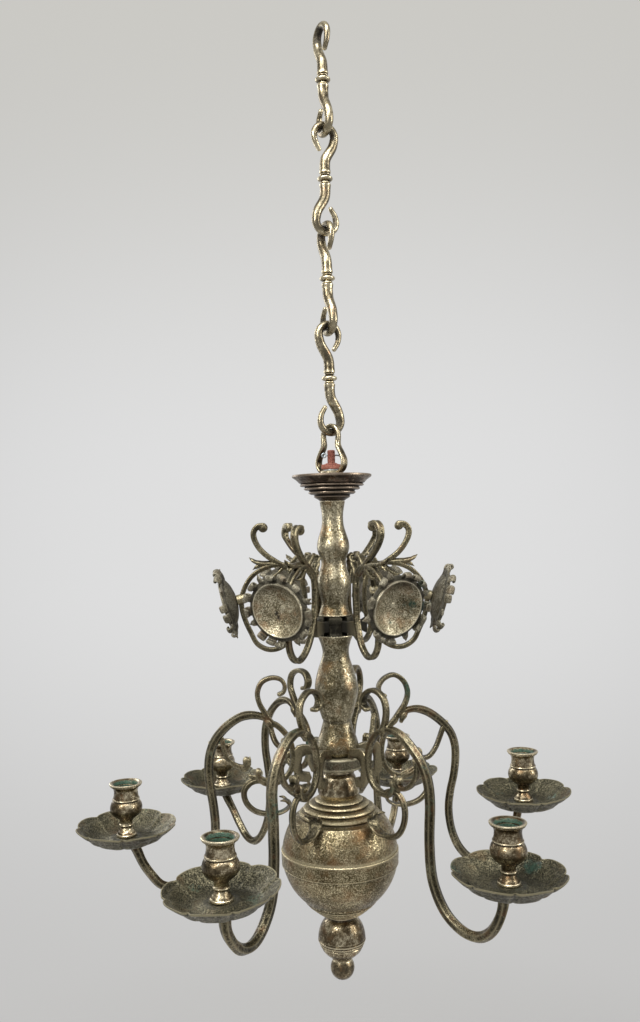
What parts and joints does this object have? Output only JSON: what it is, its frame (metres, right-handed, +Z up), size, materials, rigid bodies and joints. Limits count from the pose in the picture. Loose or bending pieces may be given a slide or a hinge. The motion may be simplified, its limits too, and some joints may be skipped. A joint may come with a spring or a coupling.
{
  "type": "brass chandelier",
  "caption": "Hanging candle chandelier: turned baluster stem over a globe, scrolled arms with lobed drip pans and candle sockets, petalled reflectors on ring brackets, hook-link chain.",
  "frame": {"origin": "the point where the top link's hook bears on what holds it up", "axes": "+Z up along the chain and the stem, +X near the first arm"},
  "size_m": [0.571, 0.5279, 1.105],
  "materials": {
    "chain_brass": "polished, with dark patina in the hollows",
    "stem_brass": "worn satin with pits",
    "arm_brass": "dull patina",
    "pan_brass": "pitted, grey-green patina",
    "socket_brass": "satin, brown patina",
    "dark_brass": "nearly black patina",
    "dish_bronze": "brown patina",
    "rusty_iron": "rusty",
    "grey_wire": "dull"
  },
  "bodies": {
    "top_link": {"chain_link_1": "chain_brass"},
    "second_link": {"chain_link_2": "chain_brass"},
    "third_link": {"chain_link_3": "chain_brass"},
    "fourth_link": {"chain_link_4": "chain_brass"},
    "shackle_body": {"shackle": "chain_brass"},
    "chandelier_body": {"tie_rod": "rusty_iron", "bar_nut": "rusty_iron", "washer": "grey_wire", "split_pin": "grey_wire", "top_dish": "dish_bronze", "upper_baluster": "stem_brass", "bracket_plate": "dark_brass", "middle_baluster": "stem_brass", "arm_plate": "dark_brass", "neck_knop": "socket_brass", "globe_upper_half": "stem_brass", "globe_lower_half": "stem_brass", "pendant_knop": "socket_brass", "finial": "socket_brass", "arm_1": "arm_brass", "drip_pan_1": "pan_brass", "candle_socket_1": "socket_brass", "reflector_bracket_1": "arm_brass", "reflector_1": "pan_brass", "arm_2": "arm_brass", "drip_pan_2": "pan_brass", "candle_socket_2": "socket_brass", "reflector_bracket_2": "arm_brass", "reflector_2": "pan_brass", "arm_3": "arm_brass", "drip_pan_3": "pan_brass", "candle_socket_3": "socket_brass", "reflector_bracket_3": "arm_brass", "reflector_3": "pan_brass", "arm_4": "arm_brass", "drip_pan_4": "pan_brass", "candle_socket_4": "socket_brass", "reflector_bracket_4": "arm_brass", "reflector_4": "pan_brass", "arm_5": "arm_brass", "drip_pan_5": "pan_brass", "candle_socket_5": "socket_brass", "reflector_bracket_5": "arm_brass", "reflector_5": "pan_brass", "arm_6": "arm_brass", "drip_pan_6": "pan_brass", "candle_socket_6": "socket_brass", "reflector_bracket_6": "arm_brass", "reflector_6": "pan_brass"}
  },
  "joints": [
    {"name": "second_link_swing", "type": "hinge", "parent": "top_link", "child": "second_link", "pos_m": [0, 0, -0.12075], "axis": [0.342, -0.9397, 0], "range_deg": [-60, 60]},
    {"name": "third_link_swing", "type": "hinge", "parent": "second_link", "child": "third_link", "pos_m": [0, 0, -0.23675], "axis": [0.9397, 0.342, 0], "range_deg": [-60, 60]},
    {"name": "fourth_link_swing", "type": "hinge", "parent": "third_link", "child": "fourth_link", "pos_m": [0, 0, -0.35275], "axis": [0.342, -0.9397, 0], "range_deg": [-60, 60]},
    {"name": "shackle_body_swing", "type": "hinge", "parent": "fourth_link", "child": "shackle_body", "pos_m": [0, 0, -0.46875], "axis": [0.9397, 0.342, 0], "range_deg": [-40, 40]},
    {"name": "body_swivel", "type": "hinge", "parent": "shackle_body", "child": "chandelier_body", "pos_m": [0, 0, -0.5155], "axis": [0, 0, 1], "continuous": true}
  ]
}
